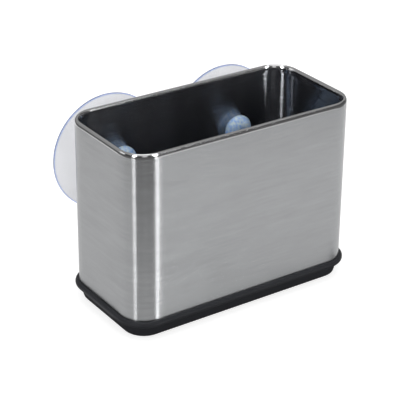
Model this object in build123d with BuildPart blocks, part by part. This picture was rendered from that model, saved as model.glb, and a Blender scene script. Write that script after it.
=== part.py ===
"""Sponge holder for a sink: a sheet-steel sleeve on a moulded drain base, held by two suction cups.

X runs left to right, Y from front to back and Z up. The origin is the middle of the place it stands on.
"""
import os

from build123d import *

os.makedirs("parts", exist_ok=True)

# Steel sleeve: outside size, corner and sheet
length = 140.0
depth = 67.3
total_height = 105.4
corner_radius = 14.2
sheet = 0.5

# Rolled rim: the sheet turns over to the inside in a tall, narrow curl
curl_width = 2.4
curl_rise = 2.5
curl_leg = 1.8

# Drain base, from the surface upwards: pads, foot, lip and floor
pad_proud = 0.5
foot_height = 7.4
foot_inset = 0.6
foot_draft = 14.4
hollow_draft = 9.0
foot_wall = 2.0
foot_round = 2.0
seat_thickness = 1.5
lip_cover = 2.0
lip_proud = 2.15
lip_round = 1.7
lip_round_share = 0.45
sleeve_slip = 0.15
floor_rise = 1.1
floor_thickness = 2.0

# Skirt inside the sleeve, and the grip ribs on it that hold the sleeve
skirt_height = 8.0
skirt_wall = 1.6
skirt_gap = 0.4
skirt_lead = 0.6
grip_width = 2.0
grip_slip = 0.08
front_grips = 4
side_grips = 2

# Ribs that keep the sponge off the floor, and the drain slots between them
rib_count = 7
rib_width = 1.6
rib_height = 1.8
rib_end_gap = 4.0
slot_rows = 2
slot_width = 3.0
slot_length = 16.0
slot_pitch = 25.0

# Soft pads, each glued in the end of a hollow boss
pad_radius = 5.0
pad_thickness = 2.0
pad_bevel = 0.4
pad_slip = 0.1
pad_inset = 14.0
pad_shelf = 1.5
pad_boss_wall = 1.6

# Suction cups: their place, then one cup from its lip to its head
cup_gap = 9.6
cup_drop = 33.4
lip_radius = 33.0
lip_land = 1.5
lip_edge = 0.8
dish_depth = 6.4
dish_crown = 3.0
boss_length = 3.1
boss_step = 4.5
boss_blend = 2.5
core_radius = 2.4
core_depth = 8.5
neck_wall = 2.6
collar_step = 1.3
head_spread = 2.2
head_flare = 3.3
head_band = 0.8
head_step = 0.35
dome_height = 3.4
dome_bulge = 0.8
dome_land = 0.7
turning_fit = 0.08

# How far a cut runs past the face that it leaves
overrun = 1.0

# Heights and places that follow from the sizes above
lip_bottom = pad_proud + foot_height
seat_height = lip_bottom + seat_thickness
lip_top = seat_height + lip_cover
lip_height = lip_top - lip_bottom
floor_top = seat_height + floor_rise
floor_bottom = floor_top - floor_thickness
skirt_top = floor_top + skirt_height
skirt_inset = sheet + skirt_gap
floor_inset = skirt_inset + skirt_wall
floor_length = length - 2 * floor_inset
floor_depth = depth - 2 * floor_inset
half_front = length / 2 - corner_radius
half_side = depth / 2 - corner_radius
shoulder = total_height - curl_rise
pad_x = length / 2 - pad_inset
pad_y = depth / 2 - pad_inset
neck_radius = core_radius + neck_wall
cup_x = lip_radius + cup_gap / 2
cup_z = total_height - cup_drop
cup_standoff = dish_depth + dish_crown + boss_length


def footprint(inset):
    """The sleeve's rounded outline, drawn in by inset all round."""
    RectangleRounded(length - 2 * inset, depth - 2 * inset, corner_radius - inset)


# Steel sleeve

with BuildPart() as sleeve:
    with BuildLine(Plane.XY.offset(seat_height)) as sleeve_path:
        Line((0, -depth / 2), (half_front, -depth / 2))
        JernArc((half_front, -depth / 2), (1, 0), corner_radius, 90)
        Line((length / 2, -half_side), (length / 2, half_side))
        JernArc((length / 2, half_side), (0, 1), corner_radius, 90)
        Line((half_front, depth / 2), (-half_front, depth / 2))
        JernArc((-half_front, depth / 2), (-1, 0), corner_radius, 90)
        Line((-length / 2, half_side), (-length / 2, -half_side))
        JernArc((-length / 2, -half_side), (0, -1), corner_radius, 90)
        Line((-half_front, -depth / 2), (0, -depth / 2))

    # Section through the front wall and its rolled rim
    outer_y = -depth / 2
    curl_y = outer_y + curl_width
    curl_center = ((outer_y + curl_y) / 2, shoulder)
    with BuildSketch(Plane.YZ):
        with BuildLine():
            Line((outer_y, seat_height), (outer_y, shoulder))
            EllipticalCenterArc(curl_center, curl_width / 2, curl_rise, arc_size=180)
            Polyline(
                (curl_y, shoulder),
                (curl_y, shoulder - curl_leg),
                (curl_y - sheet, shoulder - curl_leg),
                (curl_y - sheet, shoulder),
            )
            EllipticalCenterArc(curl_center, curl_width / 2 - sheet, curl_rise - sheet, arc_size=180)
            Polyline((outer_y + sheet, shoulder), (outer_y + sheet, seat_height), (outer_y, seat_height))
        make_face()
    sweep(path=sleeve_path.wire())

    # Round holes in the back wall for the necks of the cups
    with BuildSketch(Plane.XZ.offset(-depth / 2 - overrun)):
        with Locations((-cup_x, cup_z), (cup_x, cup_z)):
            Circle(neck_radius + turning_fit)
    extrude(amount=sheet + 2 * overrun, mode=Mode.SUBTRACT)

sleeve.part.label = "steel_sleeve"
export_step(sleeve.part, "parts/steel_sleeve.step")


# Drain base

with BuildPart() as base:
    # Rounded lip that covers the cut edge of the sleeve
    with BuildSketch(Plane.XY.offset(lip_bottom)):
        footprint(-lip_proud)
    extrude(amount=lip_height)
    lip_edges = base.edges().group_by(Axis.Z)
    fillet(
        lip_edges[0] + lip_edges[-1],
        radius=min(lip_round, lip_proud - sleeve_slip, lip_height * lip_round_share),
    )

    # Foot, drawn in towards the surface, with a rounded lower edge
    with BuildSketch(Plane.XY.offset(lip_bottom)):
        footprint(foot_inset)
    extrude(amount=foot_height, dir=(0, 0, -1), taper=foot_draft)
    fillet(base.edges().group_by(Axis.Z)[0], radius=min(foot_round, foot_wall))

    # Seat for the sleeve, and the skirt that stands inside it
    with BuildSketch(Plane.XY.offset(seat_height)):
        footprint(-sleeve_slip)
    extrude(amount=lip_cover, mode=Mode.SUBTRACT)
    with BuildSketch(Plane.XY.offset(seat_height)):
        footprint(skirt_inset)
    extrude(amount=skirt_top - seat_height)
    chamfer(base.edges().group_by(Axis.Z)[-1], length=min(skirt_lead, skirt_wall))
    with BuildSketch(Plane.XY.offset(floor_top)):
        footprint(floor_inset)
    extrude(amount=skirt_height + overrun, mode=Mode.SUBTRACT)

    # Grip ribs, spread over the straight stretches of the skirt
    grip_stand = skirt_gap - grip_slip
    with BuildSketch(Plane.XY.offset(seat_height)):
        with GridLocations(2 * half_front / front_grips, depth - 2 * skirt_inset, front_grips, 2):
            Rectangle(grip_width, 2 * grip_stand)
        with GridLocations(length - 2 * skirt_inset, 2 * half_side / side_grips, 2, side_grips):
            Rectangle(2 * grip_stand, grip_width)
    extrude(amount=skirt_top - skirt_lead - seat_height)

    # Hollow under the floor, with a draft of its own
    with BuildSketch(Plane.XY.offset(floor_bottom)):
        footprint(foot_inset + foot_wall)
    extrude(
        amount=floor_bottom - pad_proud + overrun,
        dir=(0, 0, -1),
        taper=hollow_draft,
        mode=Mode.SUBTRACT,
    )

    # Hollow bosses, each with a shelf that a pad is glued against
    for radius, height, mode in (
        (pad_radius + pad_slip + pad_boss_wall, floor_bottom - pad_proud, Mode.ADD),
        (pad_radius + pad_slip, pad_thickness - pad_proud, Mode.SUBTRACT),
        (pad_radius - pad_shelf, floor_bottom - pad_proud, Mode.SUBTRACT),
    ):
        with BuildSketch(Plane.XY.offset(pad_proud)):
            with GridLocations(2 * pad_x, 2 * pad_y, 2, 2):
                Circle(radius)
        extrude(amount=height, mode=mode)

    # Sponge ribs, and rows of drain slots in the bays between them
    rib_pitch = floor_length / (rib_count + 1)
    with BuildSketch(Plane.XY.offset(floor_top)):
        with GridLocations(rib_pitch, floor_depth, rib_count, 1):
            SlotOverall(floor_depth - 2 * rib_end_gap, rib_width, rotation=90)
    extrude(amount=rib_height)
    with BuildSketch(Plane.XY.offset(floor_bottom)):
        with GridLocations(rib_pitch, slot_pitch, rib_count - 1, slot_rows):
            SlotOverall(slot_length, slot_width, rotation=90)
    extrude(amount=floor_thickness, mode=Mode.SUBTRACT)

base.part.label = "drain_base"
export_step(base.part, "parts/drain_base.step")


# Foot pads

def foot_pad(x, y):
    """A soft disc with a bevelled lower edge, which stands on the surface."""
    with BuildPart() as pad:
        with BuildSketch():
            with Locations((x, y)):
                Circle(pad_radius)
        extrude(amount=pad_thickness)
        chamfer(pad.edges().group_by(Axis.Z)[0], length=pad_bevel)
    return pad.part


for end, y in (("front", -pad_y), ("back", pad_y)):
    for side, x in (("left", -pad_x), ("right", pad_x)):
        pad = foot_pad(x, y)
        pad.label = f"foot_pad_{end}_{side}"
        export_step(pad, f"parts/{pad.label}.step")


# Suction cups

def suction_cup(x):
    """One soft moulding on an axis from back to front: dish, boss, neck through the wall, and head.

    Its half profile is drawn outwards from the axis, and from the lip towards the inside of the tub.
    """
    boss_face = cup_standoff - turning_fit
    collar_face = cup_standoff + sheet + turning_fit
    band_start = cup_standoff + sheet + head_flare
    band_end = band_start + head_band
    head_top = band_end + dome_height
    boss_radius = neck_radius + boss_step
    collar_radius = neck_radius + collar_step
    head_radius = collar_radius + head_spread
    stem_start = dish_depth + dish_crown / 2
    half_profile = Plane(origin=(x, depth / 2 + cup_standoff, cup_z), x_dir=(1, 0, 0), z_dir=(0, 0, -1))
    with BuildPart() as cup:
        with BuildSketch(half_profile) as profile:
            # Dish that thickens from its lip to its middle, with a flat land that seals
            with BuildLine():
                hollow = TangentArc((0, dish_depth), (lip_radius - lip_land, 0), tangent=(1, 0))
                back = TangentArc((0, dish_depth + dish_crown), (lip_radius, lip_edge), tangent=(1, 0))
                Polyline(hollow @ 1, (lip_radius, 0), back @ 1)
                Line(back @ 0, hollow @ 0)
            make_face()
            # Boss behind the wall, neck through it, and a domed head with a blind core
            with BuildLine():
                stem = Polyline(
                    (0, stem_start),
                    (boss_radius, stem_start),
                    (boss_radius, boss_face),
                    (neck_radius, boss_face),
                    (neck_radius, collar_face),
                    (collar_radius, collar_face),
                    (head_radius, band_start),
                    (head_radius, band_end),
                    (head_radius - head_step, band_end),
                )
                dome = SagittaArc(stem @ 1, (core_radius + dome_land, head_top), -dome_bulge)
                Polyline(
                    dome @ 1,
                    (core_radius, head_top),
                    (core_radius, head_top - core_depth),
                    (0, head_top - core_depth),
                    stem @ 0,
                )
            make_face()
            boss_root = profile.vertices().sort_by_distance((boss_radius, dish_depth + dish_crown))[0]
            fillet(boss_root, radius=min(boss_blend, boss_length))
        revolve(axis=Axis((x, 0, cup_z), (0, 1, 0)))
    return cup.part


for side, x in (("left", -cup_x), ("right", cup_x)):
    cup = suction_cup(x)
    cup.label = f"suction_cup_{side}"
    export_step(cup, f"parts/{cup.label}.step")
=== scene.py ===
"""Looks of the sponge holder: brushed steel tub, black drain base and clear suction cups on a white sweep."""
import math

import bpy
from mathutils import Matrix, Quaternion, Vector


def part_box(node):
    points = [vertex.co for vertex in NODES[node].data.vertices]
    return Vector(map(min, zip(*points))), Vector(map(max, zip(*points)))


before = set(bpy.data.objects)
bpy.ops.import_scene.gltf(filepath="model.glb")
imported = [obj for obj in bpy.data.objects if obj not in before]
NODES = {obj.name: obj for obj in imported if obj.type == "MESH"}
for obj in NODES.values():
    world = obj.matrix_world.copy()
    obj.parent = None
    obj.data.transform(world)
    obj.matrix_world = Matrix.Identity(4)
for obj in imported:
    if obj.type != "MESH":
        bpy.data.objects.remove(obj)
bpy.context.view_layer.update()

# Places that the looks follow, taken from the frame
STEEL_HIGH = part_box("steel_sleeve")[1]
HALF_LENGTH = STEEL_HIGH.x
HALF_DEPTH = STEEL_HIGH.y
RIM_TOP = STEEL_HIGH.z
CUP_LOW, CUP_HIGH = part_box("suction_cup_right")
CUP_X = (CUP_LOW.x + CUP_HIGH.x) / 2
CUP_Z = (CUP_LOW.z + CUP_HIGH.z) / 2

# Sizes that the frame doesn't give, in metres
RIM_HEIGHT = 0.0025
SHEET = 0.0005
CORNER_RADIUS = 0.0142
LIP_EDGE = (0.0322, 0.0328)
BEND_RUN = 0.005

# Most of a noise lies between these
NOISE_RANGE = (0.3, 0.7)


# Node helpers

def new_material(name):
    """A material with its Principled shader: (material, tree, shader)."""
    material = bpy.data.materials.new(name)
    material.use_nodes = True
    tree = material.node_tree
    return material, tree, tree.nodes["Principled BSDF"]


def add(tree, kind, inputs=(), **settings):
    """A new node with its settings, and its inputs set or linked by name or number."""
    node = tree.nodes.new(kind)
    for name, value in settings.items():
        setattr(node, name, value)
    for key, value in dict(inputs).items():
        if isinstance(value, bpy.types.NodeSocket):
            tree.links.new(value, node.inputs[key])
        else:
            node.inputs[key].default_value = value
    return node


def math_node(tree, operation, first, second=0.0):
    """The result of one math operation."""
    return add(tree, "ShaderNodeMath", {0: first, 1: second}, operation=operation).outputs[0]


def mixed(tree, first, share, second):
    """A share of the first value, and the rest from the second."""
    parts = [math_node(tree, "MULTIPLY", value, part) for value, part in ((first, share), (second, 1 - share))]
    return math_node(tree, "ADD", *parts)


def remap(tree, value, low, high, to_low, to_high):
    """value moved from one range to another, and held inside it."""
    inputs = {"Value": value, "From Min": low, "From Max": high, "To Min": to_low, "To Max": to_high}
    return add(tree, "ShaderNodeMapRange", inputs, clamp=True).outputs[0]


def noise(tree, coordinates, scale, detail=2.0, roughness=0.5):
    """Noise from 0 to 1, with scale as three numbers of waves per metre."""
    stretched = add(tree, "ShaderNodeVectorMath", {0: coordinates, 1: scale}, operation="MULTIPLY").outputs[0]
    inputs = {"Vector": stretched, "Scale": 1.0, "Detail": detail, "Roughness": roughness}
    return add(tree, "ShaderNodeTexNoise", inputs).outputs[0]


def bump(tree, height, distance):
    """A normal that is tilted by the height, with distance in metres."""
    return add(tree, "ShaderNodeBump", {"Height": height, "Distance": distance, "Strength": 1.0}).outputs[0]


def tint(tree, factor, low, high):
    """A colour between two, by a factor from 0 to 1."""
    node = add(tree, "ShaderNodeMix", {0: factor}, data_type="RGBA")
    node.inputs[6].default_value = (*low, 1)
    node.inputs[7].default_value = (*high, 1)
    return node.outputs[2]


def object_coordinates(tree):
    return add(tree, "ShaderNodeTexCoord").outputs["Object"]


# Steel

def soft_bends(tree, place, side):
    """How far the normal leans where a bend runs out into a flat wall; side is 1 outside, and 0 for none."""
    split = add(tree, "ShaderNodeSeparateXYZ", {0: place}).outputs
    most = side * BEND_RUN / CORNER_RADIUS / 4
    tilt = []
    for value, flat in ((split[0], HALF_LENGTH - CORNER_RADIUS), (split[1], HALF_DEPTH - CORNER_RADIUS)):
        past = math_node(tree, "SUBTRACT", math_node(tree, "ABSOLUTE", value), flat)
        near = remap(tree, math_node(tree, "ABSOLUTE", past), 0, BEND_RUN, 1, 0)
        amount = math_node(tree, "MULTIPLY", math_node(tree, "MULTIPLY", near, near), most)
        tilt.append(math_node(tree, "MULTIPLY", amount, math_node(tree, "SIGN", value)))
    return tilt


def leaning_normal(tree, lean):
    """The surface normal, leaned by three amounts."""
    offset = add(tree, "ShaderNodeCombineXYZ", {0: lean[0], 1: lean[1], 2: lean[2]}).outputs[0]
    normal = add(tree, "ShaderNodeNewGeometry").outputs["Normal"]
    total = add(tree, "ShaderNodeVectorMath", {0: normal, 1: offset}, operation="ADD").outputs[0]
    return add(tree, "ShaderNodeVectorMath", {0: total}, operation="NORMALIZE").outputs[0]


def brushed_steel(name, base, contrast, roughness, unevenness, anisotropy, groove, side):
    """Steel with its lines level round the tub; groove is how far they lean its normal up and down."""
    material, tree, shader = new_material(name)
    place = object_coordinates(tree)
    fine = noise(tree, place, (30, 30, 2600), detail=4, roughness=0.7)
    hair = noise(tree, place, (60, 60, 30000), detail=0)
    lines = noise(tree, place, (30, 30, 560), detail=4, roughness=0.65)
    cloud = noise(tree, place, (45, 45, 120), detail=3)
    shade = mixed(tree, mixed(tree, fine, 0.5, lines), 0.65, cloud)
    dark = tuple(c * (1 - contrast) for c in base)
    light = tuple(c * (1 + contrast) for c in base)
    tree.links.new(tint(tree, remap(tree, shade, *NOISE_RANGE, 0, 1), dark, light), shader.inputs["Base Color"])
    rough = remap(tree, shade, *NOISE_RANGE, roughness - unevenness, roughness + unevenness)
    tree.links.new(rough, shader.inputs["Roughness"])
    lean = soft_bends(tree, place, side)
    lean.append(math_node(tree, "MULTIPLY", math_node(tree, "SUBTRACT", hair, 0.5), groove))
    tree.links.new(leaning_normal(tree, lean), shader.inputs["Normal"])
    level = add(tree, "ShaderNodeTangent", direction_type="RADIAL", axis="Z").outputs[0]
    tree.links.new(level, shader.inputs["Tangent"])
    shader.inputs["Metallic"].default_value = 1.0
    shader.inputs["Anisotropic"].default_value = anisotropy
    shader.inputs["Anisotropic Rotation"].default_value = 0.25
    return material


def outline_distance(x, y):
    """How far a point lies outside the tub's rounded outline; negative inside."""
    over_x = abs(x) - (HALF_LENGTH - CORNER_RADIUS)
    over_y = abs(y) - (HALF_DEPTH - CORNER_RADIUS)
    outside = math.hypot(max(over_x, 0.0), max(over_y, 0.0))
    return outside + min(max(over_x, over_y), 0.0) - CORNER_RADIUS


def dress_sleeve():
    """Outer brushing, a plainer inside whose darker, bluer colour is painted shade, and rolled rim, by where each
    face lies.
    """
    sleeve = NODES["steel_sleeve"]
    outside = brushed_steel("steel_outside", (0.445, 0.452, 0.46), contrast=0.11, roughness=0.2,
                            unevenness=0.025, anisotropy=1.0, groove=0.2, side=1)
    # The inside's steel is darker and bluer than the outside's: painted shade for the inside of the tub.
    inside = brushed_steel("steel_inside_painted_shade", (0.33, 0.34, 0.365), contrast=0.08, roughness=0.18,
                           unevenness=0.01, anisotropy=1.0, groove=1.3, side=0)
    rim = brushed_steel("steel_rim", (0.54, 0.54, 0.545), contrast=0.05, roughness=0.12,
                        unevenness=0.01, anisotropy=0.0, groove=0.1, side=0)
    finishes = (outside, inside, rim)
    sleeve.data.materials.clear()
    for material in finishes:
        sleeve.data.materials.append(material)
    for face in sleeve.data.polygons:
        x, y, z = face.center
        if z > RIM_TOP - RIM_HEIGHT:
            finish = rim
        elif outline_distance(x, y) > -SHEET / 2:
            finish = outside
        else:
            finish = inside
        face.material_index = finishes.index(finish)


# Plastic and rubber

def black_plastic():
    material, tree, shader = new_material("black_plastic")
    place = object_coordinates(tree)
    grain = noise(tree, place, (2600, 2600, 2600), detail=2)
    cloud = noise(tree, place, (60, 60, 60), detail=3)
    colour = tint(tree, cloud, (0.022, 0.023, 0.027), (0.034, 0.035, 0.04))
    tree.links.new(colour, shader.inputs["Base Color"])
    tree.links.new(remap(tree, cloud, *NOISE_RANGE, 0.36, 0.46), shader.inputs["Roughness"])
    tree.links.new(bump(tree, grain, 0.00002), shader.inputs["Normal"])
    shader.inputs["Specular IOR Level"].default_value = 0.16
    return material


def pad_rubber():
    material, tree, shader = new_material("pad_rubber")
    place = object_coordinates(tree)
    grain = noise(tree, place, (1500, 1500, 1500), detail=3)
    tree.links.new(tint(tree, grain, (0.06, 0.06, 0.065), (0.1, 0.1, 0.105)), shader.inputs["Base Color"])
    tree.links.new(bump(tree, grain, 0.00003), shader.inputs["Normal"])
    shader.inputs["Roughness"].default_value = 0.8
    return material


def clear_vinyl(name, low, high, edge, transmission, waves):
    """Soft vinyl, cloudy between two colours, which gathers its blue tint in the lip's edge."""
    material, tree, shader = new_material(name)
    place = object_coordinates(tree)
    cloud = remap(tree, noise(tree, place, (waves, waves, waves), detail=3), 0.35, 0.65, 0, 1)
    split = add(tree, "ShaderNodeSeparateXYZ", {0: place}).outputs
    across = math_node(tree, "SUBTRACT", math_node(tree, "ABSOLUTE", split[0]), CUP_X)
    up = math_node(tree, "SUBTRACT", split[2], CUP_Z)
    squares = [math_node(tree, "MULTIPLY", way, way) for way in (across, up)]
    radius = math_node(tree, "SQRT", math_node(tree, "ADD", *squares))
    body = tint(tree, cloud, low, high)
    mix = add(tree, "ShaderNodeMix", {0: remap(tree, radius, *LIP_EDGE, 0, 1), 6: body}, data_type="RGBA")
    mix.inputs[7].default_value = (*edge, 1)
    tree.links.new(mix.outputs[2], shader.inputs["Base Color"])
    tree.links.new(remap(tree, cloud, 0, 1, 0.16, 0.24), shader.inputs["Roughness"])
    shader.inputs["Transmission Weight"].default_value = transmission
    shader.inputs["IOR"].default_value = 1.5
    return material


def dress_cup(name, disc, head):
    """The disc behind the wall is nearly colourless; the head in front of it is an opaque bright blue, partly the
    vinyl's tint through its thickness and partly painted light for the glow that the neck carries in from behind
    the wall.
    """
    cup = NODES[name]
    cup.data.materials.clear()
    cup.data.materials.append(disc)
    cup.data.materials.append(head)
    for face in cup.data.polygons:
        face.material_index = 1 if face.center.y < HALF_DEPTH else 0


def dress_node(name, material):
    NODES[name].data.materials.clear()
    NODES[name].data.materials.append(material)


dress_sleeve()
dress_node("drain_base", black_plastic())
PAD_RUBBER = pad_rubber()
for pad in ("front_left", "front_right", "back_left", "back_right"):
    dress_node("foot_pad_" + pad, PAD_RUBBER)
VINYL_DISC = clear_vinyl("clear_vinyl_disc", (0.83, 0.835, 0.865), (0.86, 0.865, 0.89),
                         edge=(0.36, 0.48, 0.88), transmission=0.75, waves=120)
# The head's opaque, bright blue-white colour is partly painted light: a glow standing in for light piped through
# the neck from behind the wall.
VINYL_HEAD_PAINTED_GLOW = clear_vinyl("vinyl_head_painted_glow", (0.34, 0.57, 1.0), (0.8, 0.94, 1.0),
                         edge=(0.32, 0.44, 0.86), transmission=0.0, waves=600)
for cup in ("left", "right"):
    dress_cup("suction_cup_" + cup, VINYL_DISC, VINYL_HEAD_PAINTED_GLOW)


# Stage

CAMERA_AZIMUTH = -34.43
ROOM = 4.0
STRIP_DISTANCE = 2.8


def light_path_any(tree, names):
    """1 for a ray of any of the named kinds."""
    path = add(tree, "ShaderNodeLightPath")
    total = path.outputs[names[0]]
    for name in names[1:]:
        total = math_node(tree, "MAXIMUM", total, path.outputs[name])
    return total


SEEN = ("Is Camera Ray", "Is Glossy Ray", "Is Transmission Ray")


def make_world(ambient):
    """A white room: full white where it is seen, and ambient where it only lights."""
    world = bpy.data.worlds.new("white_room")
    bpy.context.scene.world = world
    world.use_nodes = True
    tree = world.node_tree
    background = tree.nodes["Background"]
    background.inputs["Color"].default_value = (1, 1, 1, 1)
    strength = remap(tree, light_path_any(tree, SEEN), 0, 1, ambient, 1)
    tree.links.new(strength, background.inputs["Strength"])


def make_floor(size, albedo, glow):
    """A pale floor that keeps the object's shadow and reaches white where it is seen."""
    bpy.ops.mesh.primitive_plane_add(size=size, location=(0, 0, 0))
    floor = bpy.context.object
    floor.name = "floor"
    material = bpy.data.materials.new("floor")
    material.use_nodes = True
    tree = material.node_tree
    tree.nodes.clear()
    diffuse = add(tree, "ShaderNodeBsdfDiffuse", {"Color": (albedo, albedo, albedo, 1)})
    seen = math_node(tree, "MULTIPLY", light_path_any(tree, SEEN), glow)
    glow_node = add(tree, "ShaderNodeEmission", {"Color": (1, 1, 1, 1), "Strength": seen})
    total = add(tree, "ShaderNodeAddShader", {0: diffuse.outputs[0], 1: glow_node.outputs[0]})
    add(tree, "ShaderNodeOutputMaterial", {"Surface": total.outputs[0]})
    floor.data.materials.append(material)


def around(azimuth, elevation, distance, target):
    """A point round the target. Azimuth 0 lies towards -Y, and 90 towards +X."""
    a, e = math.radians(azimuth), math.radians(elevation)
    back = Vector((math.sin(a) * math.cos(e), -math.cos(a) * math.cos(e), math.sin(e)))
    return target + distance * back


def only_mirrored(piece):
    """A stage piece that shows in gloss alone, as studio cards and flags out of the frame do."""
    piece.visible_camera = False
    piece.visible_diffuse = False
    piece.visible_transmission = False
    piece.visible_volume_scatter = False
    piece.visible_shadow = False


def mirrored_sheet(name, origin, rows, reach, brightness):
    """A glowing sheet that only gloss sees, from pairs of points, with its brightness at two reaches."""
    points, faces = [], []
    for near, far in rows:
        points += [near - origin, far - origin]
        if len(points) > 2:
            i = len(points)
            faces.append((i - 4, i - 2, i - 1, i - 3))
    mesh = bpy.data.meshes.new(name)
    mesh.from_pydata(points, [], faces)
    piece = bpy.data.objects.new(name, mesh)
    piece.location = origin
    bpy.context.scene.collection.objects.link(piece)
    material = bpy.data.materials.new(name)
    material.use_nodes = True
    tree = material.node_tree
    tree.nodes.clear()
    distance = add(tree, "ShaderNodeVectorMath", {0: object_coordinates(tree)}, operation="LENGTH").outputs["Value"]
    strength = remap(tree, distance, *reach, *brightness)
    glow = add(tree, "ShaderNodeEmission", {"Color": (1, 1, 1, 1), "Strength": strength})
    add(tree, "ShaderNodeOutputMaterial", {"Surface": glow.outputs[0]})
    mesh.materials.append(material)
    only_mirrored(piece)
    return piece


def spread(first, last, steps=48):
    """Azimuths from one to another."""
    return [first + (last - first) * i / steps for i in range(steps + 1)]


def table_sheet(name, inner, outer, height, brightness):
    """A round sheet on the table."""
    middle = Vector((0, 0, height))
    rows = [(around(a, 0, inner, middle), around(a, 0, outer, middle)) for a in spread(-180, 180)]
    mirrored_sheet(name, middle, rows, (inner, outer), brightness)


def wall(name, first, last, low, high, brightness, distance=ROOM, lights=None):
    """A wall of the studio between two azimuths and two elevations, for the pieces in lights or for all."""
    middle = Vector((0, 0, 0))
    heights = [Vector((0, 0, distance * math.tan(math.radians(e)))) for e in (low, high)]
    rows = [[around(a, 0, distance, middle) + height for height in heights] for a in spread(first, last)]
    sheet = mirrored_sheet(name, middle, rows, (0, 1), (brightness, brightness))
    sheet.light_linking.receiver_collection = lights


def painted_base_shade(margin, height, brightness):
    """A dark sheet under the object, a little wider than its base: painted shade, which the base's foot and lip
    mirror in place of the shade where the base meets the floor.
    """
    x, y = HALF_LENGTH + margin, HALF_DEPTH + margin
    rows = [(Vector((side * x, -y, height)), Vector((side * x, y, height))) for side in (-1, 1)]
    mirrored_sheet("painted_base_shade", Vector((0, 0, height)), rows, (0, 1), (brightness, brightness))


def corner_card(name, first, last, near, far, height, brightness):
    """A card on the table, which fans out from the front left corner between two azimuths."""
    middle = Vector((CORNER_RADIUS - HALF_LENGTH, CORNER_RADIUS - HALF_DEPTH, height))
    rows = []
    for azimuth in spread(first, last, 12):
        foot = around((azimuth + CAMERA_AZIMUTH) / 2, 0, CORNER_RADIUS, middle)
        rows.append((around(azimuth, 0, near, foot), around(azimuth, 0, far, foot)))
    mirrored_sheet(name, middle, rows, (near, far), brightness)


def panel_lamp(name, place, facing, width, height, radiance):
    """A rectangular lamp, as bright as its radiance says."""
    data = bpy.data.lights.new(name, "AREA")
    data.shape = "RECTANGLE"
    data.size, data.size_y = width, height
    data.energy = radiance * math.pi * width * height
    lamp = bpy.data.objects.new(name, data)
    bpy.context.scene.collection.objects.link(lamp)
    lamp.location = place
    lamp.rotation_mode = "QUATERNION"
    lamp.rotation_quaternion = Vector(facing).to_track_quat("-Z", "Y")


def upright_softbox(name, azimuth, distance, width, low, high, radiance):
    """A tall softbox that stands round the object's front left corner."""
    corner = Vector((-HALF_LENGTH, -HALF_DEPTH, (low + high) / 2))
    place = around(azimuth, 0, distance, corner)
    panel_lamp(name, place, corner - place, width, high - low, radiance)


make_world(0.6)
make_floor(12.0, 0.5, 0.78)

# Sheets that only gloss sees, placed so that the steel mirrors what the photograph shows
wall("front_walls", -120, 30, 0, 30, 0.08)
wall("right_walls", 30, 100, 0, 26, 0.12)
wall("back_walls", 100, 200, 0, 26, 0.4)
wall("side_walls", 200, 240, 0, 26, 0.42)
wall("upper_front_walls", -120, 30, 30, 60, 0.5)
wall("upper_walls", 30, 240, 26, 69, 0.45)
table_sheet("dark_ground", 0.3, 4.0, 0.0004, (0.16, 0.16))
table_sheet("table", 0.0, 0.38, 0.0005, (0.7, 1.06))
# A dark sheet that only gloss sees, under the base: painted shade for the black plastic to mirror.
painted_base_shade(0.013, 0.0006, 0.12)
corner_card("card_side", -178, -77, 0.01, 0.3, 0.0007, (0.72, 0.84))
corner_card("card_front", -61, 15.5, 0.01, 0.36, 0.0008, (0.66, 0.12))
corner_card("card_left", -76, -62, 0.01, 0.5, 0.0009, (1.2, 1.2))
corner_card("card_right", 16.8, 24.0, 0.01, 0.5, 0.0009, (2.45, 2.45))

# Strips that make the streaks inside the tub, for the steel alone, because they whiten the clear cups
STEEL_ONLY = bpy.data.collections.new("steel_only")
STEEL_ONLY.objects.link(NODES["steel_sleeve"])
wall("strip_left", -71.5, -60, 12, 40, 12.0, STRIP_DISTANCE, STEEL_ONLY)
wall("strip_right", 10.5, 25.5, 14, 42, 15.0, STRIP_DISTANCE, STEEL_ONLY)
wall("strip_back", -132, -106, 8, 26, 1.4, STRIP_DISTANCE, STEEL_ONLY)
wall("strip_front", -34, -14, 12, 30, 1.2, STRIP_DISTANCE, STEEL_ONLY)

# Lamps
upright_softbox("softbox_left", -67, 3.0, 0.5, 0.1, 1.4, 6.0)
upright_softbox("softbox_right", 20.5, 3.0, 0.5, 0.1, 1.4, 6.0)
panel_lamp("softbox_top", (-0.1, -0.1, 1.3), (0.1, 0.1, -1.3), 0.9, 0.9, 1.5)


# Camera, set by the edges of the tub in the photograph

def make_camera():
    target = Vector((-0.00772, 0.0, 0.05278))
    elevation, distance, roll = 26.55, 0.8036, 0.55
    data = bpy.data.cameras.new("camera")
    data.sensor_width = 36.0
    data.lens = 135.13
    data.clip_start, data.clip_end = 0.01, 50
    camera = bpy.data.objects.new("camera", data)
    bpy.context.scene.collection.objects.link(camera)
    camera.location = around(CAMERA_AZIMUTH, elevation, distance, target)
    camera.rotation_mode = "QUATERNION"
    facing = (target - camera.location).to_track_quat("-Z", "Y")
    camera.rotation_quaternion = facing @ Quaternion((0, 0, 1), math.radians(roll))
    bpy.context.scene.camera = camera


make_camera()
bpy.context.scene.view_settings.view_transform = "Standard"
